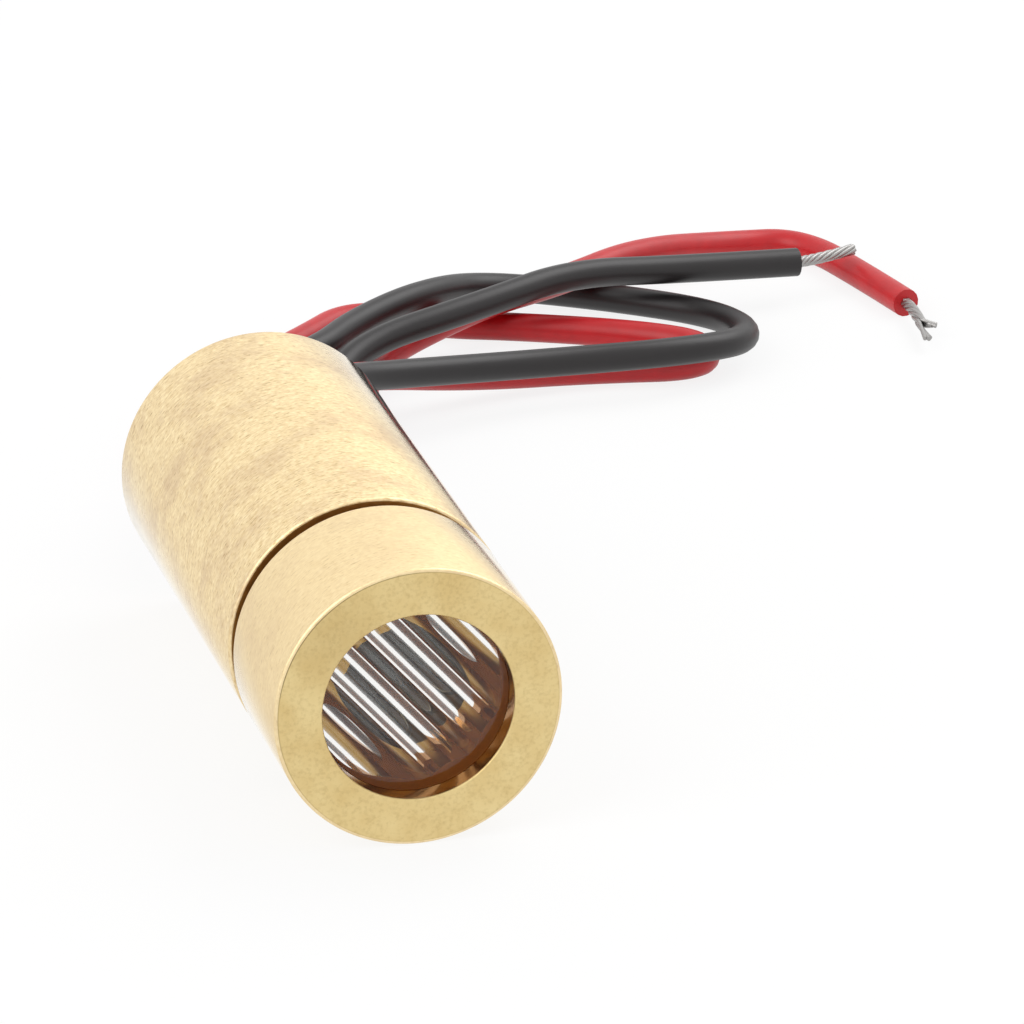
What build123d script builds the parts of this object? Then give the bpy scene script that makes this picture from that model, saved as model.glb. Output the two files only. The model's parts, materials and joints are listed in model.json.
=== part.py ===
# Line-laser module: brass barrel, screwed-in lens cap, laser diode, driver board and two flying leads.
# Millimetres. The barrel lies along Y on the floor Z = 0, its front face looks along -Y.
import os
from math import cos, pi, radians, sin, tan

from build123d import *

# Driving dimensions
OD = 9.0                # outside diameter of barrel and cap
LENGTH = 21.0           # front ring to rear edge
CAP_LENGTH = 5.4        # visible part of the cap
SEAM = 0.55             # open gap between cap and barrel
FRONT_RING = 1.5        # front ring of the cap, from its lens bore to the outside
LENS_RECESS = 0.7       # front ring to the flat of the line lens
LENS_THICKNESS = 1.6    # line lens over its rib crests
RIB_PERIOD = 1.62       # crest to crest
RIB_DEPTH = 0.61        # crest to trough
RIB_ANGLE = 41.6        # across the ribs, from horizontal, seen from the front
STEM_D = 5.6            # diode stem
STEM_THICKNESS = 1.2
CAN_D = 3.55            # diode can
CAN_HEIGHT = 2.3
PIN_D = 0.45            # diode pins
PIN_CIRCLE_D = 2.0
LEAD_D = 1.0            # lead over its insulation
LEAD_PITCH = 2.4        # from lead to lead in the plug
SEAL_DEPTH = 1.8        # epoxy plug

# Walls, steps and clearances
EDGE_BREAK = 0.2        # turned outer edges
SEAM_BREAK = 0.1        # edges beside the seam
LENS_SHOULDER = 1.05    # step behind the line lens, down to the beam opening
SOCKET_WALL = 0.8       # barrel wall round the spigot of the cap
SPIGOT_WALL = 0.9       # spigot wall round the collimating lens
REAR_WALL = 0.7         # barrel wall round the board
WEB = 1.0               # web between the two lens seats
COLLIMATOR_RIM = 1.4    # thickness of the collimating lens at its rim
COLLIMATOR_RISE = 0.6   # dome of the collimating lens, into the beam opening
DOME_CLEARANCE = 0.12   # dome to beam opening
RING_THICKNESS = 0.8    # ring behind the collimating lens
SPIGOT_REACH = 2.25     # spigot in the barrel
WASHER_THICKNESS = 0.8  # rubber washer between spigot and partition
WASHER_CLEARANCE = 0.05 # rubber washer to the barrel socket
PARTITION = 1.2         # wall between washer and diode seat
CAN_CLEARANCE = 0.2     # can to the partition hole
CAN_WALL = 0.2
WINDOW_D = 1.6          # opening in the can
WINDOW_THICKNESS = 0.25
GLASS_D = 0.85          # glass seal round an insulated pin
BOARD_GAP = 0.8         # stem to board
BOARD_CLEARANCE = 0.25  # board edges to the rear bore
BOARD_BITE = 0.6        # board tail in the plug
SEAL_RECESS = 0.2       # plug below the rear edge
CORE_D = 0.5            # stranded core of a lead

# Chips and parts on the board
LASER_CHIP = 0.3        # edge of the laser chip
LASER_CHIP_HEIGHT = 0.12
MONITOR_CHIP = 0.6      # edge of the monitor chip
MONITOR_CHIP_HEIGHT = 0.15
TRANSISTOR_HEIGHT = 0.9
TRANSISTOR_SIDE = 0.15  # transistor to the lead beside it
DRAFT_CHAMFER = 0.15    # upper edges of a moulded case
RESISTOR_WIDTH = 0.8
RESISTOR_HEIGHT = 0.45
CAPACITOR_WIDTH = 2.0
CAPACITOR_HEIGHT = 0.8
SOLDER_FILM = 0.05      # solder between a pin and the board
SOLDER_SIDE = 0.25      # solder beside a pin or core
SOLDER_SLOPE = 70       # flank of a solder joint, in degrees
SOLDER_END = 0.15       # pin or core that stands out of its solder

# Stations behind the front face
axis_z = OD / 2
front_y = -LENGTH / 2
lens_back = LENS_RECESS + LENS_THICKNESS
web_back = lens_back + WEB
lens_rim_back = web_back + COLLIMATOR_RIM
barrel_front = CAP_LENGTH + SEAM
spigot_end = barrel_front + SPIGOT_REACH
partition_front = spigot_end + WASHER_THICKNESS
seat = partition_front + PARTITION
stem_back = seat + STEM_THICKNESS
can_front = seat - CAN_HEIGHT
seal_back = LENGTH - SEAL_RECESS
seal_front = seal_back - SEAL_DEPTH
board_front = stem_back + BOARD_GAP
board_length = seal_front + BOARD_BITE - board_front
pin_end = board_front + 0.27 * board_length
lead_front = seal_front - 0.19 * board_length
core_front = lead_front - 0.175 * board_length

# Radii
outer_r = OD / 2
lens_r = outer_r - FRONT_RING
aperture_r = lens_r - LENS_SHOULDER
spigot_r = outer_r - SOCKET_WALL
pocket_r = spigot_r - SPIGOT_WALL
rear_r = outer_r - REAR_WALL
stem_r = STEM_D / 2
can_r = CAN_D / 2
can_hole_r = can_r + CAN_CLEARANCE
pin_r = PIN_D / 2
pin_circle_r = PIN_CIRCLE_D / 2
lead_r = LEAD_D / 2
core_r = CORE_D / 2
lead_x = LEAD_PITCH / 2

# Heights over the axis
board_top = -pin_r - SOLDER_FILM
board_bottom = -pin_circle_r + pin_r + SOLDER_FILM
board_middle = (board_top + board_bottom) / 2
board_thickness = board_top - board_bottom
board_width = 2 * ((rear_r ** 2 - board_bottom ** 2) ** 0.5 - BOARD_CLEARANCE)
lead_up = board_top + lead_r

section = Plane(origin=(0, front_y, axis_z), x_dir=(0, 1, 0), z_dir=(1, 0, 0))
turning = Axis((0, front_y, axis_z), (0, 1, 0))
os.makedirs("parts", exist_ok=True)


def station(s):
    """Plane across the barrel, s behind the front face; its normal looks to the front."""
    return Plane(origin=(0, front_y + s, axis_z), x_dir=(1, 0, 0), z_dir=(0, -1, 0))


def save(piece, name):
    """Name a piece and write it."""
    piece.part.label = name
    export_step(piece.part, "parts/" + name + ".step")


# Barrel: thread socket in front, partition with the diode seat, wide rear bore
with BuildPart() as barrel:
    with BuildSketch(section):
        with BuildLine():
            Polyline(
                (barrel_front, spigot_r),
                (barrel_front, outer_r - SEAM_BREAK),
                (barrel_front + SEAM_BREAK, outer_r),
                (LENGTH - EDGE_BREAK, outer_r),
                (LENGTH, outer_r - EDGE_BREAK),
                (LENGTH, rear_r),
                (stem_back, rear_r),
                (stem_back, stem_r),
                (seat, stem_r),
                (seat, can_hole_r),
                (partition_front, can_hole_r),
                (partition_front, spigot_r),
                close=True,
            )
        make_face()
    revolve(axis=turning)
save(barrel, "barrel")

# Lens cap: front bore for the line lens, web with the beam opening, spigot with the collimator pocket
with BuildPart() as lens_cap:
    with BuildSketch(section):
        with BuildLine():
            Polyline(
                (0, lens_r),
                (0, outer_r - EDGE_BREAK),
                (EDGE_BREAK, outer_r),
                (CAP_LENGTH - SEAM_BREAK, outer_r),
                (CAP_LENGTH, outer_r - SEAM_BREAK),
                (CAP_LENGTH, spigot_r),
                (spigot_end, spigot_r),
                (spigot_end, pocket_r),
                (web_back, pocket_r),
                (web_back, aperture_r),
                (lens_back, aperture_r),
                (lens_back, lens_r),
                close=True,
            )
        make_face()
    revolve(axis=turning)
save(lens_cap, "lens_cap")

# Line lens: flat in front, rounded ribs on the rear face, a trough on the axis
across = Vector(cos(radians(RIB_ANGLE)), 0, sin(radians(RIB_ANGLE)))
along = Vector(-sin(radians(RIB_ANGLE)), 0, cos(radians(RIB_ANGLE)))
rib_plane = Plane(origin=(0, front_y, axis_z), x_dir=across, z_dir=along)
side_ribs = int(lens_r / RIB_PERIOD) + 1
rib_half = side_ribs * RIB_PERIOD
rib_middle = lens_back - RIB_DEPTH / 2
rib_points = []
for quarter in range(-4 * side_ribs, 4 * side_ribs + 1):
    rib_points.append((quarter * RIB_PERIOD / 4, rib_middle - RIB_DEPTH / 2 * cos(quarter * pi / 2)))
with BuildPart() as line_lens:
    with BuildSketch(rib_plane):
        with BuildLine():
            Spline(*rib_points)
            Polyline(rib_points[-1], (rib_half, LENS_RECESS), (-rib_half, LENS_RECESS), rib_points[0])
        make_face()
    extrude(amount=2 * lens_r, both=True)
    with BuildSketch(station(0)):
        Circle(lens_r)
    extrude(amount=-2 * lens_back, mode=Mode.INTERSECT)
save(line_lens, "line_lens")

# Collimating lens: flat back, rim on the web, dome in the beam opening
dome_r = aperture_r - DOME_CLEARANCE
dome_front = web_back - COLLIMATOR_RISE
sphere_r = (dome_r ** 2 + COLLIMATOR_RISE ** 2) / (2 * COLLIMATOR_RISE)
with BuildPart() as collimating_lens:
    with BuildSketch(section):
        with BuildLine():
            dome = RadiusArc((web_back, dome_r), (dome_front, 0), -sphere_r)
            Polyline(
                dome @ 1,
                (lens_rim_back, 0),
                (lens_rim_back, pocket_r),
                (web_back, pocket_r),
                dome @ 0,
            )
        make_face()
    revolve(axis=turning)
save(collimating_lens, "collimating_lens")

# Ring that holds the collimating lens
with BuildPart() as lens_ring:
    with BuildSketch(station(lens_rim_back)):
        Circle(pocket_r)
        Circle(dome_r, mode=Mode.SUBTRACT)
    extrude(amount=-RING_THICKNESS)
save(lens_ring, "lens_ring")

# Rubber washer squeezed between the spigot and the partition, which keeps the cap from turning
with BuildPart() as preload_ring:
    with BuildSketch(station(spigot_end)):
        Circle(spigot_r - WASHER_CLEARANCE)
        Circle(pocket_r, mode=Mode.SUBTRACT)
    extrude(amount=-WASHER_THICKNESS)
save(preload_ring, "preload_ring")

# Laser diode: stem with two glass-sealed holes, common pin welded to its back
with BuildPart() as diode_stem:
    with BuildSketch(station(seat)):
        Circle(stem_r)
        with Locations((-pin_circle_r, 0), (pin_circle_r, 0)):
            Circle(GLASS_D / 2, mode=Mode.SUBTRACT)
    extrude(amount=-STEM_THICKNESS)
save(diode_stem, "diode_stem")

with BuildPart() as pin_common:
    with BuildSketch(station(stem_back)):
        with Locations((0, -pin_circle_r)):
            Circle(pin_r)
    extrude(amount=-(pin_end - stem_back))
save(pin_common, "pin_common")

# Can with its window
with BuildPart() as diode_cap:
    with BuildSketch(section):
        with BuildLine():
            Polyline(
                (can_front, WINDOW_D / 2),
                (can_front, can_r),
                (seat, can_r),
                (seat, can_r - CAN_WALL),
                (can_front + CAN_WALL, can_r - CAN_WALL),
                (can_front + CAN_WALL, WINDOW_D / 2),
                close=True,
            )
        make_face()
    revolve(axis=turning)
save(diode_cap, "diode_cap")

with BuildPart() as diode_window:
    with BuildSketch(station(can_front + CAN_WALL)):
        Circle(can_r - CAN_WALL)
    extrude(amount=-WINDOW_THICKNESS)
save(diode_window, "diode_window")

# Post with the laser chip on the axis, monitor chip on the stem below it
post_height = CAN_HEIGHT * 0.55
with BuildPart() as diode_post:
    with BuildSketch(station(seat)):
        with Locations((0, LASER_CHIP_HEIGHT / 2)):
            Rectangle(can_r * 0.6, can_r * 0.28, align=(Align.CENTER, Align.MIN))
    extrude(amount=post_height)
save(diode_post, "diode_post")

with BuildPart() as laser_chip:
    with BuildSketch(station(seat - post_height + LASER_CHIP)):
        Rectangle(LASER_CHIP, LASER_CHIP_HEIGHT)
    extrude(amount=LASER_CHIP)
save(laser_chip, "laser_chip")

with BuildPart() as monitor_chip:
    with BuildSketch(station(seat)):
        with Locations((0, -can_r * 0.36)):
            Rectangle(MONITOR_CHIP, MONITOR_CHIP)
    extrude(amount=MONITOR_CHIP_HEIGHT)
save(monitor_chip, "monitor_chip")

# Driver board between the pins, with its parts on both faces
with BuildPart() as driver_board:
    with BuildSketch(station(board_front)):
        with Locations((0, board_middle)):
            Rectangle(board_width, board_thickness)
    extrude(amount=-board_length)
save(driver_board, "driver_board")

board_y = front_y + board_front
over_board = Plane(origin=(0, board_y, axis_z + board_top))
under_board = Plane(origin=(0, board_y, axis_z + board_bottom), x_dir=(1, 0, 0), z_dir=(0, 0, -1))
part_row = 0.4 * board_length

with BuildPart() as transistor_a:
    with BuildSketch(over_board):
        with Locations((0, part_row)):
            Rectangle(2 * (lead_x - lead_r - TRANSISTOR_SIDE), 0.19 * board_length)
    extrude(amount=TRANSISTOR_HEIGHT)
    chamfer(transistor_a.faces().sort_by(Axis.Z)[-1].edges(), DRAFT_CHAMFER)
save(transistor_a, "transistor_a")

with BuildPart() as transistor_b:
    with BuildSketch(under_board):
        with Locations((0, -part_row)):
            Rectangle(0.45 * board_width, 0.18 * board_length)
    extrude(amount=TRANSISTOR_HEIGHT)
    chamfer(transistor_b.faces().sort_by(Axis.Z)[0].edges(), DRAFT_CHAMFER)
save(transistor_b, "transistor_b")

with BuildPart() as capacitor:
    with BuildSketch(under_board):
        with Locations((0, -1.75 * part_row)):
            Rectangle(CAPACITOR_WIDTH, 0.17 * board_length)
    extrude(amount=CAPACITOR_HEIGHT)
save(capacitor, "capacitor")

for name, side in (("resistor_a", -1), ("resistor_b", 1)):
    with BuildPart() as resistor:
        with BuildSketch(over_board):
            with Locations((side * 0.36 * board_width, 0.8 * part_row)):
                Rectangle(RESISTOR_WIDTH, 0.22 * board_length)
        extrude(amount=RESISTOR_HEIGHT)
    save(resistor, name)

# Insulated pins: glass seal in the stem, pin through it, solder on the board
pin_solder_length = 0.6 * (pin_end - board_front)
pin_solder_front = pin_end - pin_solder_length - SOLDER_END
pin_solder_width = 2 * (pin_r + SOLDER_SIDE)
pin_solder_height = SOLDER_FILM + 2.3 * pin_r
for name, side in (("anode", -1), ("cathode", 1)):
    pin_x = side * pin_circle_r
    with BuildPart() as glass:
        with BuildSketch(station(seat)):
            with Locations((pin_x, 0)):
                Circle(GLASS_D / 2)
                Circle(pin_r, mode=Mode.SUBTRACT)
        extrude(amount=-STEM_THICKNESS)
    save(glass, "glass_" + name)

    with BuildPart() as pin:
        with BuildSketch(station(seat)):
            with Locations((pin_x, 0)):
                Circle(pin_r)
        extrude(amount=-(pin_end - seat))
    save(pin, "pin_" + name)

    with BuildPart() as solder:
        with BuildSketch(station(pin_solder_front)):
            with Locations((pin_x, board_top)):
                Trapezoid(
                    pin_solder_width, pin_solder_height, SOLDER_SLOPE, align=(Align.CENTER, Align.MIN)
                )
            with Locations((pin_x, 0)):
                Circle(pin_r, mode=Mode.SUBTRACT)
        extrude(amount=-pin_solder_length)
    save(solder, "solder_" + name)

with BuildPart() as solder_common:
    with BuildSketch(station(pin_solder_front)):
        with Locations((0, board_bottom)):
            Trapezoid(
                pin_solder_width,
                pin_solder_height,
                SOLDER_SLOPE,
                align=(Align.CENTER, Align.MIN),
                rotation=180,
            )
        with Locations((0, -pin_circle_r)):
            Circle(pin_r, mode=Mode.SUBTRACT)
    extrude(amount=-pin_solder_length)
save(solder_common, "solder_common")

# Lead roots: bare core soldered to the board, insulation through the plug
core_length = lead_front - core_front
for name, side in (("red", -1), ("black", 1)):
    root_x = side * lead_x
    with BuildPart() as core:
        with BuildSketch(station(core_front)):
            with Locations((root_x, lead_up)):
                Circle(core_r)
        extrude(amount=-core_length)
    save(core, name + "_core")

    with BuildPart() as solder:
        with BuildSketch(station(core_front + SOLDER_END)):
            with Locations((root_x, board_top)):
                Trapezoid(
                    2 * (core_r + SOLDER_SIDE),
                    lead_r + 0.4 * core_r,
                    SOLDER_SLOPE,
                    align=(Align.CENTER, Align.MIN),
                )
            with Locations((root_x, lead_up)):
                Circle(core_r, mode=Mode.SUBTRACT)
        extrude(amount=-(core_length - 2 * SOLDER_END))
    save(solder, "solder_" + name)

    with BuildPart() as root:
        with BuildSketch(station(lead_front)):
            with Locations((root_x, lead_up)):
                Circle(lead_r)
        extrude(amount=-(seal_back - lead_front))
    save(root, name + "_lead_root")

# Epoxy plug round the board tail and the leads
with BuildPart() as rear_seal:
    with BuildSketch(station(seal_front)):
        Circle(rear_r)
        with Locations((-lead_x, lead_up), (lead_x, lead_up)):
            Circle(lead_r, mode=Mode.SUBTRACT)
    extrude(amount=-SEAL_DEPTH)
    with BuildSketch(station(seal_front)):
        with Locations((0, board_middle)):
            Rectangle(board_width, board_thickness)
    extrude(amount=-BOARD_BITE, mode=Mode.SUBTRACT)
save(rear_seal, "rear_seal")

# Flying leads: points across, back from the plug face and up from the floor, in lead diameters
FLAT_COUNT = 12         # flats that stand for the round insulation, to keep the long coil light
STRAIGHT_OUT = 2.4
BLACK_COIL = [
    (2.3, 6.9, 4.1), (5.1, 10.8, 2.95), (8.2, 12.7, 2.15), (13.2, 14.1, 1.5), (18.6, 13.8, 1.55),
    (21.4, 15.6, 1.1), (21.3, 19.7, 0.5), (17.8, 22.5, 0.5), (13.9, 23.9, 0.8), (11.0, 21.3, 1.75),
    (8.0, 19.2, 1.68), (5.8, 16.6, 1.62), (1.2, 14.6, 1.56), (0.1, 11.2, 1.52), (1.7, 8.4, 1.0),
    (4.7, 9.0, 0.5), (5.3, 13.2, 0.65), (7.0, 16.5, 1.75), (12.4, 18.2, 2.3), (15.9, 20.1, 2.4),
    (20.2, 21.3, 1.7), (24.65, 21.6, 1.45),
]
RED_COIL = [
    (-0.4, 6.6, 3.9), (2.6, 11.0, 2.7), (6.6, 13.7, 1.9), (11.2, 15.2, 0.8), (15.6, 15.6, 0.5),
    (19.3, 14.9, 0.5), (20.0, 16.8, 0.5), (18.2, 18.4, 0.5), (14.2, 20.3, 0.5), (11.6, 21.2, 0.5),
    (8.8, 23.2, 0.5), (6.3, 20.7, 0.5), (1.4, 16.6, 0.5), (-0.8, 12.0, 0.5), (0.9, 7.6, 0.5),
    (5.3, 7.6, 0.5), (6.9, 12.2, 0.5), (7.7, 17.8, 0.5), (12.4, 19.9, 1.55), (15.9, 21.3, 1.65),
    (19.4, 23.8, 1.6), (23.4, 26.3, 0.55), (26.2, 26.1, 0.5), (27.3, 21.9, 0.5), (27.9, 19.1, 0.5),
]
exit_y = front_y + seal_back


def lay(side, coil):
    """Points of a lead: straight out of the plug, then its coil."""
    points = [Vector(side * lead_x, exit_y, axis_z + lead_up)]
    points.append(points[0] + Vector(0, STRAIGHT_OUT * LEAD_D, 0))
    for x, back, up in coil:
        points.append(Vector(x * LEAD_D, exit_y + back * LEAD_D, up * LEAD_D))
    return points


def bend_radii(points):
    """Arc radius at each inner point, from the shorter run beside it."""
    radii = []
    for before, here, after in zip(points, points[1:], points[2:]):
        run_in = here - before
        run_out = after - here
        half_turn = radians(run_in.get_angle(run_out)) / 2
        radii.append(0.45 * min(run_in.length, run_out.length) / tan(half_turn))
    return radii


paths = {}
for name, side, coil in (("black_lead", 1, BLACK_COIL), ("red_lead", -1, RED_COIL)):
    points = lay(side, coil)
    radii = bend_radii(points)
    with BuildPart() as lead:
        with BuildLine():
            path = FilletPolyline(*points, radius=radii)
        with BuildSketch(Plane(origin=path @ 0, z_dir=path % 0)):
            RegularPolygon(lead_r, FLAT_COUNT)
        sweep(path=path)
    save(lead, name)
    paths[name] = path
    print(name, round(path.length, 2), "arc radii", [round(radius, 2) for radius in radii])

# Bare ends: a tinned stub on the black lead, forked strands on the red lead, in lead diameters
STUB_LENGTH = 2.4
STUB_STRAIGHT = 0.5
STUB_BEND_R = 2.0
STUB_SWAY = Vector(-0.1, 0.6, 0.13)
TWIST_STRAIGHT = 0.5
TWIST_BEND_R = 1.5
TWIST_LENGTH = 2.2
TWIST_SWAY = 0.6
STRANDS = ((1.1, 3.6), (0.17, 2.6))  # sway and reach of each strand
black_end = paths["black_lead"] @ 1
black_way = paths["black_lead"] % 1
with BuildPart() as black_lead_tip:
    with BuildLine():
        stub_path = FilletPolyline(
            black_end,
            black_end + black_way * STUB_STRAIGHT * LEAD_D,
            black_end + (black_way * STUB_LENGTH + STUB_SWAY) * LEAD_D,
            radius=STUB_BEND_R * LEAD_D,
        )
    with BuildSketch(Plane(origin=stub_path @ 0, z_dir=stub_path % 0)):
        Circle(0.85 * core_r)
    sweep(path=stub_path)
save(black_lead_tip, "black_lead_tip")

red_end = paths["red_lead"] @ 1
red_way = paths["red_lead"] % 1
red_side = red_way.cross(Vector(0, 0, 1)).normalized()
with BuildPart() as red_lead_tip:
    with BuildLine():
        twist_path = FilletPolyline(
            red_end,
            red_end + red_way * TWIST_STRAIGHT * LEAD_D,
            red_end + (red_way * TWIST_LENGTH + red_side * TWIST_SWAY) * LEAD_D,
            radius=TWIST_BEND_R * LEAD_D,
        )
    with BuildSketch(Plane(origin=twist_path @ 0, z_dir=twist_path % 0)):
        Circle(0.9 * core_r)
    sweep(path=twist_path)
    for sway, reach in STRANDS:
        with BuildLine() as strand:
            Line(twist_path @ 0.9, red_end + (red_way * reach + red_side * sway) * LEAD_D)
        with BuildSketch(Plane(origin=strand.line @ 0, z_dir=strand.line % 0)):
            Circle(0.5 * core_r)
        sweep(path=strand.line)
save(red_lead_tip, "red_lead_tip")
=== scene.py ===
# Line-laser module: turned brass barrel and lens cap, ribbed acrylic line lens, red and black leads.
# Metres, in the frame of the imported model: the barrel lies along Y and its lens looks along -Y.
import json
from math import cos, pi, radians, sin, sqrt

import bmesh
import bpy
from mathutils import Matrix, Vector


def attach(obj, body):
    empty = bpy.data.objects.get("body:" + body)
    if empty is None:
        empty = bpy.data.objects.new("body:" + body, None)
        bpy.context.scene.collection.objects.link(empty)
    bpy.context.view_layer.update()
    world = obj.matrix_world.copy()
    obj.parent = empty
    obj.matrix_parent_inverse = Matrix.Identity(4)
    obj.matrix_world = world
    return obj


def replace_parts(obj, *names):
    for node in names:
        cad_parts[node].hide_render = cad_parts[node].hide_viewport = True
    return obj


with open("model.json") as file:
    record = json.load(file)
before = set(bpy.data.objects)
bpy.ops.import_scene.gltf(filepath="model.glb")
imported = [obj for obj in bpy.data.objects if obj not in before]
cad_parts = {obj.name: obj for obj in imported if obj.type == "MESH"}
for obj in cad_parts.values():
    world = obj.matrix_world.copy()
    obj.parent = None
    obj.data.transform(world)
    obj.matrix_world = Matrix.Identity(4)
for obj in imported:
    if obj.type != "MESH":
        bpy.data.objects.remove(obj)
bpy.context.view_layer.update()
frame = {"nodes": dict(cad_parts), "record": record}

MM = 0.001

# Sizes of the module, in millimetres
OUTER_D = 9.0
LENGTH = 21.0
CAP_LENGTH = 5.4
SEAM = 0.55              # open gap between cap and barrel
EDGE = 0.1               # round that tumbling leaves on a turned edge
BORE_EDGE = 0.06
FRONT_RING = 1.5         # width of the ring round the lens bore
LENS_RECESS = 0.7        # front ring to the flat of the lens
LENS_THICKNESS = 1.6     # over the rib crests
LENS_PLAY = 0.01         # lens to its bore
RIB_PERIOD = 1.62        # crest to crest
RIB_DEPTH = 0.61         # crest to trough
RIB_ANGLE = radians(41.6)
LENS_SHOULDER = 1.05     # step behind the lens, down to the beam opening
WEB = 1.0                # wall behind that step
SOCKET_WALL = 0.8        # barrel wall round the spigot of the cap
SPIGOT_WALL = 0.9
SPIGOT_REACH = 2.25      # spigot in the barrel
WASHER = 0.8             # rubber washer behind the spigot
PARTITION = 1.2          # wall between washer and diode seat
CAN_HOLE_D = 3.95        # hole in that wall for the diode can
STEM_D = 5.6             # diode stem in its seat
STEM_THICKNESS = 1.2
REAR_WALL = 0.7          # barrel wall round the board
SEAL_RECESS = 0.2        # plug below the rear edge
LEAD_D = 1.0
LEAD_PITCH = 2.4         # from lead to lead in the plug
LEAD_RISE = 0.225        # leads above the barrel axis

# Places, in millimetres: radii from the barrel axis, and depths behind the front ring
OUTER_R = OUTER_D / 2
AXIS_Z = OUTER_R
FRONT_Y = -LENGTH / 2
LENS_BORE_R = OUTER_R - FRONT_RING
BEAM_R = LENS_BORE_R - LENS_SHOULDER
SPIGOT_R = OUTER_R - SOCKET_WALL
SPIGOT_BORE_R = SPIGOT_R - SPIGOT_WALL
CAN_HOLE_R = CAN_HOLE_D / 2
STEM_R = STEM_D / 2
REAR_R = OUTER_R - REAR_WALL
LENS_BACK = LENS_RECESS + LENS_THICKNESS
WEB_BACK = LENS_BACK + WEB
BARREL_START = CAP_LENGTH + SEAM
SPIGOT_END = BARREL_START + SPIGOT_REACH
PARTITION_FRONT = SPIGOT_END + WASHER
PARTITION_BACK = PARTITION_FRONT + PARTITION
STEM_BACK = PARTITION_BACK + STEM_THICKNESS
PLUG_BACK = LENGTH - SEAL_RECESS

# Sizes of the surface patterns, in millimetres
TOOL_FEED = 0.05       # from one lathe mark to the next
TUMBLED_MARK = 0.24    # what tumbling leaves of a lathe mark
FACED_MARK = 5.0       # lathe mark on the faced ring
TUMBLING_DENT = 0.14   # real dents are about 0.05; drawn coarser so that they show
BLOOM_PATCH = 3.0      # handling bloom
FACING_CLOUD = 1.1     # change of tone on the faced ring
PORE = 0.11            # real pores are about 0.03; drawn coarser so that they show
DIE_WAVE = 0.6         # unevenness of an extruded skin
MELT_CLOUD = 1.25      # faint flow in clear acrylic and glass
BATH_CLOUD = 0.3       # change of tone and gloss on bright metal
FILLER_GRAIN = 0.12    # real grain is about 0.02; drawn coarser so that it shows
DENT_DEPTH = 0.012     # tumbled brass
FEED_DEPTH = 0.006     # faced brass
WAVE_DEPTH = 0.02      # extruded skin
GRAIN_DEPTH = 0.01     # mouldings


def linear(code):
    """Linear colour of an sRGB hex value."""
    parts = [int(code[i:i + 2], 16) / 255 for i in (1, 3, 5)]
    return [p / 12.92 if p <= 0.04045 else ((p + 0.055) / 1.055) ** 2.4 for p in parts] + [1.0]


def node(tree, kind, links=None, **settings):
    """Add a shader node with its settings, and join or set its inputs."""
    made = tree.nodes.new("ShaderNode" + kind)
    for name, value in settings.items():
        setattr(made, name, value)
    for socket, source in (links or {}).items():
        if isinstance(source, bpy.types.NodeSocket):
            tree.links.new(source, made.inputs[socket])
        else:
            made.inputs[socket].default_value = source
    return made


def material(name, **constants):
    """New material with one principled surface; returns the material, its tree and that surface."""
    made = bpy.data.materials.new(name)
    made.use_nodes = True
    surface = made.node_tree.nodes["Principled BSDF"]
    for socket, value in constants.items():
        surface.inputs[socket.replace("_", " ")].default_value = value
    return made, made.node_tree, surface


def millimetres(tree):
    """Place on the object, in millimetres."""
    place = node(tree, "TexCoord")
    return node(
        tree, "VectorMath", {0: place.outputs["Object"], 1: (1 / MM,) * 3}, operation="MULTIPLY"
    ).outputs[0]


def turned_place(tree):
    """Place round the barrel axis: (vector across the axis, radius, distance along it), in millimetres."""
    place = millimetres(tree)
    centred = node(tree, "VectorMath", {0: place, 1: (0, 0, -AXIS_Z)}, operation="ADD").outputs[0]
    across = node(tree, "VectorMath", {0: centred, 1: (1, 0, 1)}, operation="MULTIPLY").outputs[0]
    radius = node(tree, "VectorMath", {0: across}, operation="LENGTH").outputs["Value"]
    along = node(tree, "SeparateXYZ", {0: centred}).outputs["Y"]
    return across, radius, along


def turning_marks(tree, spacing, reach):
    """Noise in marks round the barrel axis, spacing apart and reach long, in millimetres."""
    across, radius, along = turned_place(tree)
    around = node(tree, "VectorMath", {0: across}, operation="NORMALIZE").outputs[0]
    turn = OUTER_R / reach
    slow = node(tree, "VectorMath", {0: around, 1: (turn, 0, turn)}, operation="MULTIPLY").outputs[0]
    travel = node(tree, "Math", {0: along, 1: radius}, operation="ADD").outputs[0]
    step = node(tree, "Math", {0: travel, 1: 1 / spacing}, operation="MULTIPLY").outputs[0]
    quick = node(tree, "CombineXYZ", {"Y": step}).outputs[0]
    place = node(tree, "VectorMath", {0: slow, 1: quick}, operation="ADD").outputs[0]
    return node(tree, "TexNoise", {"Vector": place, "Scale": 1.0, "Detail": 3.0}).outputs[0]


BLOOM_SHIFT = (2.0, 5.0, 0.0)  # picks which patches of bloom are on top of the barrel
FLECK_SPAN = 0.16              # half the span of the pattern that goes from the pale to the deep tone
SHINE_START = 0.74             # flat angle from which the dull skin shines, as a share of the flattest
SHINE_FULL = 0.93              # flat angle from which it shines most


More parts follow.
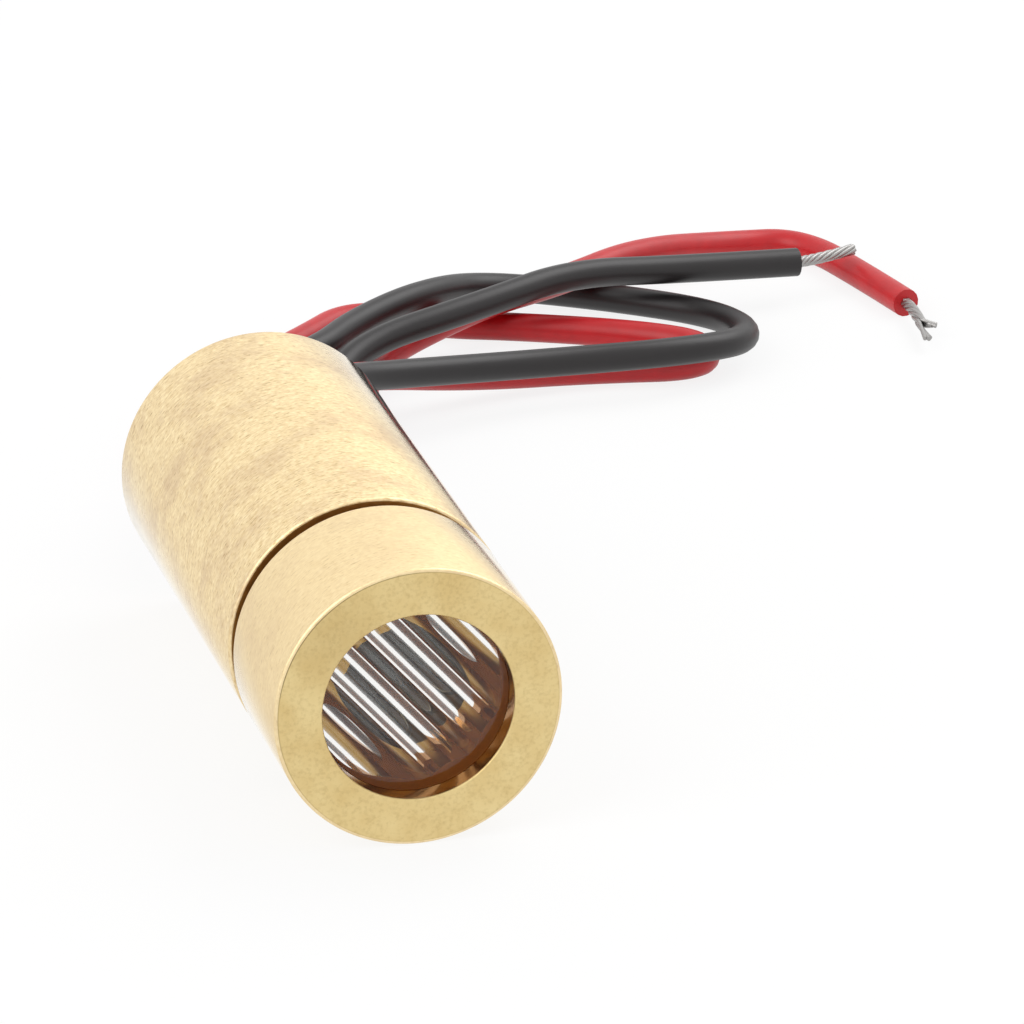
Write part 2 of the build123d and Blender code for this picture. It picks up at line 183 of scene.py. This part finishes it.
def tumbled_brass(name, wear):
    """Free-cutting brass, turned and then tumbled: pale gold, dull, with short fine marks round the axis.

    Handling leaves a grey-brown bloom, and at a flat angle the dull skin shines and whitens.
    wear is the share of marks and bloom.
    """
    made, tree, surface = material(name, Metallic=1.0)
    place = millimetres(tree)
    marks = turning_marks(tree, TOOL_FEED, TUMBLED_MARK)
    grit = node(tree, "TexNoise", {"Vector": place, "Scale": 1 / TUMBLING_DENT, "Detail": 4.0}).outputs[0]
    patch = node(tree, "VectorMath", {0: place, 1: BLOOM_SHIFT}, operation="ADD").outputs[0]
    bloom = node(
        tree, "TexNoise", {"Vector": patch, "Scale": 1 / BLOOM_PATCH, "Detail": 7.0, "Roughness": 0.74}
    ).outputs[0]
    fleck = node(
        tree, "Mix", {"Factor": 0.5, "A": marks, "B": grit}, data_type="FLOAT"
    ).outputs["Result"]
    tone = node(tree, "ValToRGB", {"Fac": fleck})
    tone.color_ramp.elements[0].position = 0.5 - FLECK_SPAN / wear
    tone.color_ramp.elements[0].color = linear("#feecc2")
    tone.color_ramp.elements[1].position = 0.5 + FLECK_SPAN / wear
    tone.color_ramp.elements[1].color = linear("#e1c591")
    stain = node(
        tree, "MapRange", {"Value": bloom, "From Min": 0.47, "From Max": 0.66, "To Max": 0.5 * wear}
    ).outputs[0]
    bloomed = node(
        tree, "Mix", {"Factor": stain, "A": tone.outputs[0], "B": linear("#c9ab8a")}, data_type="RGBA"
    )
    stroke = node(
        tree, "MapRange", {"Value": marks, "From Min": 0.61, "From Max": 0.71, "To Max": 0.5 * wear}
    ).outputs[0]
    marked = node(
        tree,
        "Mix",
        {"Factor": stroke, "A": bloomed.outputs["Result"], "B": linear("#8f7150")},
        data_type="RGBA",
    )
    tree.links.new(marked.outputs["Result"], surface.inputs["Base Color"])
    flat_angle = node(tree, "LayerWeight", {"Blend": 0.5}).outputs["Facing"]
    shine = {"Value": flat_angle, "From Min": SHINE_START, "From Max": SHINE_FULL}
    sheen = node(tree, "MapRange", {**shine, "To Max": 0.42}).outputs[0]
    dull = node(tree, "MapRange", {"Value": grit, "To Min": 0.56, "To Max": 0.40}).outputs[0]
    rough = node(tree, "Math", {0: dull, 1: sheen}, operation="SUBTRACT").outputs[0]
    tree.links.new(rough, surface.inputs["Roughness"])
    height = node(tree, "Math", {0: marks, 1: grit}, operation="ADD").outputs[0]
    relief = node(tree, "MapRange", {**shine, "To Min": 0.4, "To Max": 0.1}).outputs[0]
    bump = node(tree, "Bump", {"Height": height, "Strength": relief, "Distance": DENT_DEPTH * MM}).outputs[0]
    tree.links.new(bump, surface.inputs["Normal"])
    return made


# Wear and painted shade of the front ring, in millimetres
FINGER_MARK = (-2.6, FRONT_Y, AXIS_Z + 2.5)
FINGER_MARK_R = 2.0
FINGER_MARK_CORE_R = 0.4          # full strength within this radius
CORNER_R = OUTER_R - EDGE - 0.01  # just inside the end of the ring's flat
CORNER_SHADE_HALF_WIDTH = 0.035               # half the width of the painted shade line there
CORNER_SHADE_REACH = 6.0                  # from the finger mark to where the painted shade line is faintest
CORNER_SHADE_CORE_R = 1.0                 # painted shade at full strength within this distance of the finger mark


def faced_brass():
    """Free-cutting brass with a fresh facing cut: olive gold, satin, with fine pores.

    A finger mark darkens its upper left, and a thin line of painted shade lies in the corner of its edge,
    strongest near that mark.
    """
    made, tree, surface = material("faced_brass", Metallic=1.0)
    place = millimetres(tree)
    marks = turning_marks(tree, TOOL_FEED, FACED_MARK)
    cloud = node(tree, "TexNoise", {"Vector": place, "Scale": 1 / FACING_CLOUD, "Detail": 6.0}).outputs[0]
    tone = node(tree, "ValToRGB", {"Fac": cloud})
    tone.color_ramp.elements[0].position = 0.3
    tone.color_ramp.elements[0].color = linear("#dcc287")
    tone.color_ramp.elements[1].position = 0.7
    tone.color_ramp.elements[1].color = linear("#e8d29a")
    from_print = node(
        tree, "VectorMath", {0: place, 1: FINGER_MARK}, operation="DISTANCE"
    ).outputs["Value"]
    print_share = node(
        tree,
        "MapRange",
        {"Value": from_print, "From Min": FINGER_MARK_R, "From Max": FINGER_MARK_CORE_R, "To Max": 0.32},
    ).outputs[0]
    handled = node(
        tree, "Mix", {"Factor": print_share, "A": tone.outputs[0], "B": linear("#b89a5f")}, data_type="RGBA"
    )
    grain = node(tree, "TexNoise", {"Vector": place, "Scale": 1 / PORE, "Detail": 4.0}).outputs[0]
    pit = node(
        tree, "MapRange", {"Value": grain, "From Min": 0.46, "From Max": 0.8, "To Max": 0.28}
    ).outputs[0]
    pitted = node(
        tree,
        "Mix",
        {"Factor": pit, "A": handled.outputs["Result"], "B": linear("#9a7f4a")},
        data_type="RGBA",
    )
    radius = turned_place(tree)[1]
    # Painted shade: a thin dark brown line in the corner at the end of the ring's flat, strongest near the
    # finger mark
    from_corner = node(tree, "Math", {0: radius, 1: CORNER_R}, operation="SUBTRACT").outputs[0]
    off_corner = node(tree, "Math", {0: from_corner}, operation="ABSOLUTE").outputs[0]
    corner = node(
        tree, "MapRange", {"Value": off_corner, "From Min": CORNER_SHADE_HALF_WIDTH, "From Max": 0.0, "To Max": 1.4}
    ).outputs[0]
    patchy = node(
        tree,
        "MapRange",
        {"Value": from_print, "From Min": CORNER_SHADE_REACH, "From Max": CORNER_SHADE_CORE_R, "To Min": 0.15},
    ).outputs[0]
    broken = node(tree, "Math", {0: patchy, 1: cloud}, operation="MULTIPLY").outputs[0]
    corner_shade = node(tree, "Math", {0: corner, 1: broken}, operation="MULTIPLY").outputs[0]
    corner_shaded = node(
        tree,
        "Mix",
        {"Factor": corner_shade, "A": pitted.outputs["Result"], "B": linear("#5b4326")},
        data_type="RGBA",
    )
    tree.links.new(corner_shaded.outputs["Result"], surface.inputs["Base Color"])
    rough = node(tree, "MapRange", {"Value": marks, "To Min": 0.52, "To Max": 0.42}).outputs[0]
    tree.links.new(rough, surface.inputs["Roughness"])
    bump = node(tree, "Bump", {"Height": marks, "Strength": 0.2, "Distance": FEED_DEPTH * MM}).outputs[0]
    tree.links.new(bump, surface.inputs["Normal"])
    return made


def uneven_tone(tree, code, pattern, surface):
    """Base colour that a pattern takes from a fifth below an sRGB hex value to a fifth above it."""
    shade = linear(code)
    tone = node(tree, "ValToRGB", {"Fac": pattern})
    tone.color_ramp.elements[0].color = [0.8 * part for part in shade[:3]] + [1.0]
    tone.color_ramp.elements[1].color = [1.2 * part for part in shade[:3]] + [1.0]
    tree.links.new(tone.outputs[0], surface.inputs["Base Color"])


def extruded_pvc(name, code):
    """Soft PVC drawn over the strands: satin, a little uneven from the die."""
    made, tree, surface = material(name, Roughness=0.42, IOR=1.53)
    place = millimetres(tree)
    uneven = node(tree, "TexNoise", {"Vector": place, "Scale": 1 / DIE_WAVE, "Detail": 5.0}).outputs[0]
    uneven_tone(tree, code, uneven, surface)
    bump = node(tree, "Bump", {"Height": uneven, "Strength": 0.3, "Distance": WAVE_DEPTH * MM}).outputs[0]
    tree.links.new(bump, surface.inputs["Normal"])
    return made


def clear(name, ior):
    """Acrylic cast in a polished mould, or ground glass: clear, next to no colour of its own."""
    made, tree, surface = material(name, Roughness=0.0, IOR=ior, Transmission_Weight=1.0)
    place = millimetres(tree)
    tint = node(tree, "TexNoise", {"Vector": place, "Scale": 1 / MELT_CLOUD, "Detail": 2.0}).outputs[0]
    tone = node(tree, "ValToRGB", {"Fac": tint})
    tone.color_ramp.elements[0].color = linear("#f6f5f0")
    tone.color_ramp.elements[1].color = linear("#ffffff")
    tree.links.new(tone.outputs[0], surface.inputs["Base Color"])
    return made


def bright_metal(name, code, roughness):
    """Plated, soldered or finely cut metal: smooth, its tone and gloss faintly cloudy."""
    made, tree, surface = material(name, Metallic=1.0)
    place = millimetres(tree)
    cloud = node(tree, "TexNoise", {"Vector": place, "Scale": 1 / BATH_CLOUD, "Detail": 4.0}).outputs[0]
    uneven_tone(tree, code, cloud, surface)
    rough = node(
        tree, "MapRange", {"Value": cloud, "To Min": roughness - 0.08, "To Max": roughness + 0.08}
    ).outputs[0]
    tree.links.new(rough, surface.inputs["Roughness"])
    return made


def moulded(name, code, roughness, **constants):
    """Moulded, cast or fired resin, rubber, ceramic or glass: even colour with fine grain."""
    made, tree, surface = material(name, Roughness=roughness, **constants)
    place = millimetres(tree)
    grain = node(tree, "TexNoise", {"Vector": place, "Scale": 1 / FILLER_GRAIN, "Detail": 3.0}).outputs[0]
    uneven_tone(tree, code, grain, surface)
    bump = node(tree, "Bump", {"Height": grain, "Strength": 0.2, "Distance": GRAIN_DEPTH * MM}).outputs[0]
    tree.links.new(bump, surface.inputs["Normal"])
    return made


finishes = {
    # Brass bar, turned and tumbled: dull pale gold
    "brass": tumbled_brass("tumbled_brass", 1.0),
    # Acrylic, cast in a polished mould: clear, with white lines where its ribs turn the light
    "acrylic": clear("cast_acrylic", 1.49),
    # Crown glass, ground and polished: clear
    "optical_glass": clear("crown_glass", 1.52),
    # Nitrile rubber, moulded: matt black
    "black_rubber": moulded("nitrile_rubber", "#1c1c1c", 0.7),
    # Gold flash on steel, from a plating bath: bright yellow
    "gold_plate": bright_metal("gold_flash", "#e8c069", 0.25),
    # Sealing glass, fired in place: dark green and glossy
    "seal_glass": moulded("seal_glass", "#26332f", 0.2),
    # Nickel on steel, from a plating bath: warm grey and bright
    "nickel_plate": bright_metal("nickel_plate", "#b9b3a6", 0.28),
    # Copper, cold headed: pink brown and satin
    "copper_post": bright_metal("copper_post", "#c98a66", 0.35),
    # Silicon wafer, polished and sawn into chips: blue grey and glossy
    "semiconductor": moulded("polished_silicon", "#4a4a55", 0.2),
    # Glass epoxy board under green lacquer, cured: satin green
    "board_laminate": moulded("glass_epoxy_board", "#1f5a36", 0.4),
    # Filled epoxy, moulded round a chip: dull black
    "mould_compound": moulded("mould_compound", "#232323", 0.6),
    # Glaze on alumina, printed and fired: satin black
    "chip_resistor": moulded("resistor_glaze", "#24252a", 0.35),
    # Barium titanate, pressed and fired: satin tan
    "chip_capacitor": moulded("capacitor_ceramic", "#b29a78", 0.45),
    # Tin solder, frozen from the melt: pale grey and bright
    "solder": bright_metal("solder", "#c3c2bf", 0.3),
    # Copper strands, drawn and tinned: grey and satin
    "tinned_copper": bright_metal("tinned_copper", "#a7a5a3", 0.42),
    # Soft PVC, drawn over the strands: satin red and satin black
    "red_pvc": extruded_pvc("red_pvc", "#c00c17"),
    "black_pvc": extruded_pvc("black_pvc", "#140f10"),
    # Epoxy, cast in the rear of the barrel: black and glossy
    "epoxy": moulded("potting_epoxy", "#191919", 0.25),
}
# Brass of the cap, tumbled like the barrel: it is handled less and shows less wear
cap_brass = tumbled_brass("tumbled_cap_brass", 0.45)
ring_brass = faced_brass()
# Brass inside the bores, turned or reamed and not tumbled: deeper in colour; the shoulder behind the lens
# and the lens bore are browner still, painted shade for brass in the shadow of the bore; shiniest in the
# lens bore
web_brass_shaded = bright_metal("web_brass_shaded", "#b59150", 0.3)
bore_brass_shaded = bright_metal("bore_brass_shaded", "#a8743c", 0.16)
inner_brass = bright_metal("inner_brass", "#b58c50", 0.4)
# Amber brown on the rim of the lens, painted shade that stands for the brass bore in shadow seen through the
# acrylic; it has no gloss of its own
lens_rim_shade = moulded("lens_rim_shade", "#b86c2c", 0.5, Specular_IOR_Level=0.0)
for part in frame["record"]["subparts"]:
    mesh = frame["nodes"][part["node"]].data
    mesh.materials.clear()
    mesh.materials.append(finishes[part["material_slot"]])


def show(name, mesh):
    """Put a mesh or curve in the scene as a piece of the module."""
    made = bpy.data.objects.new(name, mesh)
    bpy.context.scene.collection.objects.link(made)
    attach(made, "root")
    return made


ROUND_STEPS = 6
TURNS = 240
TURNED_CORNER = radians(30)


def rounded(corner, start, end):
    """Points of a quarter round between two points, with its centre opposite the corner."""
    centre = (start[0] + end[0] - corner[0], start[1] + end[1] - corner[1])
    arc = []
    for i in range(ROUND_STEPS + 1):
        turn = pi / 2 * i / ROUND_STEPS
        arc.append(tuple(
            centre[k] + (start[k] - centre[k]) * cos(turn) + (end[k] - centre[k]) * sin(turn)
            for k in (0, 1)
        ))
    return arc


def turned(name, profile, finish, other_finishes=(), centre=(0, AXIS_Z)):
    """Turned piece from a closed profile of (depth behind the front ring, radius).

    other_finishes holds (material, numbers of the profile stretches that have it).
    """
    body = bmesh.new()
    rings = []
    for i in range(TURNS):
        x, z = sin(2 * pi * i / TURNS), cos(2 * pi * i / TURNS)
        rings.append([
            body.verts.new(Vector((centre[0] + r * x, FRONT_Y + depth, centre[1] + r * z)) * MM)
            for depth, r in profile
        ])
    coat = {}
    for index, (_, stretches) in enumerate(other_finishes, 1):
        coat.update(dict.fromkeys(stretches, index))
    for i in range(TURNS):
        here, there = rings[i], rings[(i + 1) % TURNS]
        for k in range(len(profile)):
            n = (k + 1) % len(profile)
            face = body.faces.new((here[k], here[n], there[n], there[k]))
            face.smooth = True
            face.material_index = coat.get(k, 0)
    bmesh.ops.recalc_face_normals(body, faces=body.faces)
    mesh = bpy.data.meshes.new(name)
    body.to_mesh(mesh)
    body.free()
    mesh.materials.append(finish)
    for other, _ in other_finishes:
        mesh.materials.append(other)
    mesh.set_sharp_from_angle(angle=TURNED_CORNER)
    return show(name, mesh)


# Lens cap, from the shoulder behind the lens round its outside to the beam opening
cap_profile = [(LENS_BACK, BEAM_R), (LENS_BACK, LENS_BORE_R)]
bore_end = len(cap_profile)
cap_profile += rounded((0, LENS_BORE_R), (BORE_EDGE, LENS_BORE_R), (0, LENS_BORE_R + BORE_EDGE))
face_end = len(cap_profile)
cap_profile += rounded((0, OUTER_R), (0, OUTER_R - EDGE), (EDGE, OUTER_R))
cap_profile += rounded((CAP_LENGTH, OUTER_R), (CAP_LENGTH - EDGE, OUTER_R), (CAP_LENGTH, OUTER_R - EDGE))
cap_inside = len(cap_profile) - 1
cap_profile += [
    (CAP_LENGTH, SPIGOT_R),
    (SPIGOT_END, SPIGOT_R),
    (SPIGOT_END, SPIGOT_BORE_R),
    (WEB_BACK, SPIGOT_BORE_R),
    (WEB_BACK, BEAM_R),
]
cap = turned(
    "lens_cap_turned",
    cap_profile,
    cap_brass,
    (
        (ring_brass, range(bore_end, face_end)),
        # painted shade on the shoulder behind the lens and on the lens bore
        (web_brass_shaded, [0]),
        (bore_brass_shaded, [1]),
        (inner_brass, range(cap_inside, len(cap_profile))),
    ),
)
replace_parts(cap, "lens_cap")

# Barrel, from its front edge round the outside and back through the diode seat
barrel_profile = [(BARREL_START, SPIGOT_R)]
barrel_profile += rounded(
    (BARREL_START, OUTER_R), (BARREL_START, OUTER_R - EDGE), (BARREL_START + EDGE, OUTER_R)
)
barrel_profile += rounded((LENGTH, OUTER_R), (LENGTH - EDGE, OUTER_R), (LENGTH, OUTER_R - EDGE))
barrel_inside = len(barrel_profile)
barrel_profile += [
    (LENGTH, REAR_R),
    (STEM_BACK, REAR_R),
    (STEM_BACK, STEM_R),
    (PARTITION_BACK, STEM_R),
    (PARTITION_BACK, CAN_HOLE_R),
    (PARTITION_FRONT, CAN_HOLE_R),
    (PARTITION_FRONT, SPIGOT_R),
]
barrel = turned(
    "barrel_turned",
    barrel_profile,
    finishes["brass"],
    ((inner_brass, [0, *range(barrel_inside, len(barrel_profile))]),),
)
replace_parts(barrel, "barrel")

# Line lens: flat in front, rounded ribs behind
LENS_R = LENS_BORE_R - LENS_PLAY
LENS_STRIPS = 300
LENS_SHARE = 0.9999  # share of the radius in strips, so that the first and the last keep some width
LENS_CORNER = radians(35)
lens = bmesh.new()
columns = []
for i in range(LENS_STRIPS + 1):
    u = LENS_R * (2 * i / LENS_STRIPS - 1) * LENS_SHARE
    half = sqrt(LENS_R ** 2 - u ** 2)
    rib = LENS_BACK - RIB_DEPTH / 2 - RIB_DEPTH / 2 * cos(2 * pi * u / RIB_PERIOD)
    column = []
    for depth, v in ((LENS_RECESS, -half), (LENS_RECESS, half), (rib, half), (rib, -half)):
        x = u * cos(RIB_ANGLE) - v * sin(RIB_ANGLE)
        z = u * sin(RIB_ANGLE) + v * cos(RIB_ANGLE)
        column.append(lens.verts.new(Vector((x, FRONT_Y + depth, AXIS_Z + z)) * MM))
    columns.append(column)
# The sides and ends of the lens take the painted shade of the bore; the front and the ribs are clear acrylic
for here, there in zip(columns, columns[1:]):
    for k in range(4):
        n = (k + 1) % 4
        face = lens.faces.new((here[k], here[n], there[n], there[k]))
        face.smooth = True
        face.material_index = k % 2
for end in (columns[0], columns[-1]):
    lens.faces.new(end).material_index = 1
bmesh.ops.recalc_face_normals(lens, faces=lens.faces)
lens_mesh = bpy.data.meshes.new("line_lens_ribbed")
lens.to_mesh(lens_mesh)
lens.free()
lens_mesh.set_sharp_from_angle(angle=LENS_CORNER)
lens_mesh.materials.append(finishes["acrylic"])
lens_mesh.materials.append(lens_rim_shade)
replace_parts(show("line_lens_ribbed", lens_mesh), "line_lens")

# Routes of the leads, in millimetres: across, back from the plug, up from the floor
PLUG_Y = FRONT_Y + PLUG_BACK
LEAD_X = LEAD_PITCH / 2
LEAD_Z = AXIS_Z + LEAD_RISE
LEAD_R = LEAD_D / 2
STRAIGHT_OUT = 2.4
BLACK_COIL = [
    (2.3, 6.9, 4.1), (5.1, 10.8, 2.95), (8.2, 12.7, 2.15), (13.2, 14.1, 1.5), (18.6, 13.8, 1.55),
    (21.4, 15.6, 1.1), (21.3, 19.7, 0.5), (17.8, 22.5, 0.5), (13.9, 23.9, 0.8), (11.0, 21.3, 1.75),
    (8.0, 19.2, 1.68), (5.8, 16.6, 1.62), (1.2, 14.6, 1.56), (0.1, 11.2, 1.52), (1.7, 8.4, 1.0),
    (4.7, 9.0, 0.5), (5.3, 13.2, 0.65), (7.0, 16.5, 1.75), (12.4, 18.2, 2.3), (15.9, 20.1, 2.4),
    (20.2, 21.3, 1.7), (24.65, 21.6, 1.45),
]
RED_COIL = [
    (-0.4, 6.6, 3.9), (2.6, 11.0, 2.7), (6.6, 13.7, 1.9), (11.2, 15.2, 0.8), (15.6, 15.6, 0.5),
    (19.3, 14.9, 0.5), (20.0, 16.8, 0.5), (18.2, 18.4, 0.5), (14.2, 20.3, 0.5), (11.6, 21.2, 0.5),
    (8.8, 23.2, 0.5), (6.3, 20.7, 0.5), (1.4, 16.6, 0.5), (-0.8, 12.0, 0.5), (0.9, 7.6, 0.5),
    (5.3, 7.6, 0.5), (6.9, 12.2, 0.5), (7.7, 17.8, 0.5), (12.4, 19.9, 1.55), (15.9, 21.3, 1.65),
    (19.4, 23.8, 1.6), (23.4, 26.3, 0.55), (26.2, 26.1, 0.5), (27.3, 21.9, 0.5), (27.9, 19.1, 0.5),
]


def route(side, coil):
    """Points of a lead: straight out of the plug, then its coil."""
    points = [(side * LEAD_X, PLUG_Y, LEAD_Z), (side * LEAD_X, PLUG_Y + STRAIGHT_OUT, LEAD_Z)]
    points += [(x, PLUG_Y + back, up) for x, back, up in coil]
    return [Vector(point) * MM for point in points]


CURVE_STEPS = 16
SECTION_STEPS = 6


def round_curve(name, lines, radius, finish):
    """Smooth round curves, one along the control points of each line."""
    curve = bpy.data.curves.new(name, "CURVE")
    curve.dimensions = "3D"
    for points in lines:
        spline = curve.splines.new("NURBS")
        spline.points.add(len(points) - 1)
        for target, point in zip(spline.points, points):
            target.co = (*point, 1.0)
        spline.order_u = 3
        spline.use_endpoint_u = True
        spline.resolution_u = CURVE_STEPS
    curve.bevel_depth = radius
    curve.bevel_resolution = SECTION_STEPS
    curve.use_fill_caps = True
    curve.materials.append(finish)
    return curve


# Strands of a lead, in millimetres
STRAND_R = 0.075
STRAND_LAY_R = 0.13
OUTER_STRANDS = 6
STRAND_STEPS = 16


def twisted(start, bend, end, turns):
    """Control points of strands laid round a bent line, a list for each strand."""
    strands = []
    for k in range(OUTER_STRANDS):
        strand = []
        for i in range(STRAND_STEPS + 1):
            t = i / STRAND_STEPS
            middle = start * (1 - t) ** 2 + bend * 2 * t * (1 - t) + end * t ** 2
            way = ((bend - start) * (1 - t) + (end - bend) * t).normalized()
            side = way.cross(Vector((0, 0, 1))).normalized()
            turn = 2 * pi * (k / OUTER_STRANDS + turns * t)
            lay = side * cos(turn) + side.cross(way) * sin(turn)
            strand.append(middle + lay * STRAND_LAY_R * MM)
        strands.append(strand)
    return strands


# Black end: strands twisted and tinned to a stub that points away
STUB_LENGTH = 2.4
STUB_STRAIGHT = 0.5
STUB_SWAY = Vector((-0.1, 0.6, 0.13))
STUB_TURNS = 1.2
black_points = route(1, BLACK_COIL)
black_end = black_points[-1]
black_way = (black_end - black_points[-2]).normalized()
stub_bend = black_end + black_way * STUB_STRAIGHT * MM
stub_end = black_end + (black_way * STUB_LENGTH + STUB_SWAY) * MM
stub = twisted(black_end, stub_bend, stub_end, STUB_TURNS)
stub.append([black_end, stub_bend, stub_end])

# Red end: strands twisted for a short way, then parted in two tufts
TWIST_LENGTH = 2.1
TWIST_STRAIGHT = 0.5
TWIST_SWAY = 0.55
TWIST_TURNS = 0.8
TUFTS = ((1.05, 3.5), (0.2, 2.5))  # sway and reach of each
TUFT_STRANDS = OUTER_STRANDS // len(TUFTS)
TUFT_SPREAD = 0.1
red_points = route(-1, RED_COIL)
red_end = red_points[-1]
red_way = (red_end - red_points[-2]).normalized()
red_side = red_way.cross(Vector((0, 0, 1))).normalized()
fork_bend = red_end + red_way * TWIST_STRAIGHT * MM
fork = red_end + (red_way * TWIST_LENGTH + red_side * TWIST_SWAY) * MM
forked = twisted(red_end, fork_bend, fork, TWIST_TURNS)
for k, strand in enumerate(forked):
    sway, reach = TUFTS[k // TUFT_STRANDS]
    spread = (k % TUFT_STRANDS - 1) * TUFT_SPREAD
    strand.append(red_end + (red_way * (reach - abs(spread)) + red_side * (sway + spread)) * MM)

# Name, points, length along the curve in millimetres and strands of each lead
LEADS = (
    ("black", black_points, 92.2, stub),
    ("red", red_points, 104.2, forked),
)
for name, points, length, strands in LEADS:
    skin = round_curve(name + "_lead_insulation", [points], LEAD_R * MM, finishes[name + "_pvc"])
    lead = show(name + "_lead_insulation", skin)
    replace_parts(lead, name + "_lead")
    bare = round_curve(name + "_lead_strands", strands, STRAND_R * MM, finishes["tinned_copper"])
    tip = show(name + "_lead_strands", bare)
    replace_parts(tip, name + "_lead_tip")

# Potting resin drawn up at the barrel wall and round the two leads
WALL_RISE = 0.15
WALL_REACH = 0.3
COLLAR_RISE = 0.18
COLLAR_R = 0.72
wall_foot = (PLUG_BACK, REAR_R - WALL_REACH)
wall_top = (PLUG_BACK + WALL_RISE, REAR_R)
wall_curve = rounded((wall_top[0], wall_foot[1]), wall_top, wall_foot)
turned("seal_at_wall", [(PLUG_BACK, REAR_R), *wall_curve], finishes["epoxy"])
collar_foot = (PLUG_BACK, COLLAR_R)
collar_top = (PLUG_BACK + COLLAR_RISE, LEAD_R)
collar_curve = rounded((collar_top[0], collar_foot[1]), collar_top, collar_foot)
for name, side in (("black", 1), ("red", -1)):
    turned(
        "seal_at_" + name + "_lead",
        [(PLUG_BACK, LEAD_R), *collar_curve],
        finishes["epoxy"],
        centre=(side * LEAD_X, LEAD_Z),
    )

# Camera: long lens, in front of the barrel, above it and to its left
CAMERA_PLACE = (-61.55, -251.33, 110.11)
CAMERA_DOWN = 21.767
CAMERA_RIGHT = 14.983
scene = bpy.context.scene
camera = bpy.data.objects.new("camera", bpy.data.cameras.new("camera"))
camera.location = Vector(CAMERA_PLACE) * MM
camera.rotation_euler = (radians(90 - CAMERA_DOWN), 0, radians(-CAMERA_RIGHT))
camera.data.sensor_width = 36.0
camera.data.lens = 314.3
scene.collection.objects.link(camera)
scene.camera = camera


def white_share(tree, camera_share):
    """Share of plain white for a ray: all of it in mirrors and glass, camera_share from the camera."""
    path = node(tree, "LightPath").outputs
    bent = node(
        tree, "Math", {0: path["Is Glossy Ray"], 1: path["Is Transmission Ray"]}, operation="MAXIMUM"
    )
    straight = node(tree, "Math", {0: path["Is Camera Ray"], 1: camera_share}, operation="MULTIPLY")
    return node(
        tree, "Math", {0: bent.outputs[0], 1: straight.outputs[0]}, operation="MAXIMUM"
    ).outputs[0]


# White surround, less bright as a lamp than it looks
SKY_LIGHT = 0.7
world = bpy.data.worlds.new("white_surround")
world.use_nodes = True
scene.world = world
sky = world.node_tree
sky.nodes.clear()
strength = node(
    sky, "MapRange", {"Value": white_share(sky, 1.0), "To Min": SKY_LIGHT, "To Max": 1.0}
).outputs[0]
surround = node(sky, "Background", {"Color": (1, 1, 1, 1), "Strength": strength})
node(sky, "OutputWorld", {"Surface": surround.outputs[0]})

# White floor, matt paint that keeps part of the shadow
FLOOR_HALF = 3.0
FLOOR_WHITE = 0.85
floor_paint = bpy.data.materials.new("white_floor")
floor_paint.use_nodes = True
tree = floor_paint.node_tree
tree.nodes.clear()
paint = node(tree, "BsdfDiffuse", {"Color": (0.9, 0.9, 0.9, 1)})
glow = node(tree, "Emission", {"Color": (1, 1, 1, 1), "Strength": 1.0})
mixed = node(
    tree, "MixShader", {0: white_share(tree, FLOOR_WHITE), 1: paint.outputs[0], 2: glow.outputs[0]}
)
node(tree, "OutputMaterial", {"Surface": mixed.outputs[0]})
floor_mesh = bpy.data.meshes.new("floor")
corners = ((-1, -1), (1, -1), (1, 1), (-1, 1))
floor_mesh.from_pydata([(x * FLOOR_HALF, y * FLOOR_HALF, 0) for x, y in corners], [], [(0, 1, 2, 3)])
floor_mesh.materials.append(floor_paint)
floor = bpy.data.objects.new("floor", floor_mesh)
scene.collection.objects.link(floor)

# Soft boxes: (name, place in millimetres, edge in millimetres, watts)
SOFT_BOXES = [
    ("key_box", (260, 120, 330), 300, 0.7),
    ("fill_box", (-300, -120, 260), 320, 0.65),
    ("back_box", (0, 420, 230), 460, 0.06),
]
for name, place, edge, watts in SOFT_BOXES:
    lamp = bpy.data.lights.new(name, "AREA")
    lamp.size = edge * MM
    lamp.energy = watts
    box = bpy.data.objects.new(name, lamp)
    box.location = Vector(place) * MM
    box.rotation_euler = (-box.location).to_track_quat("-Z", "Y").to_euler()
    scene.collection.objects.link(box)

scene.view_settings.view_transform = "Standard"
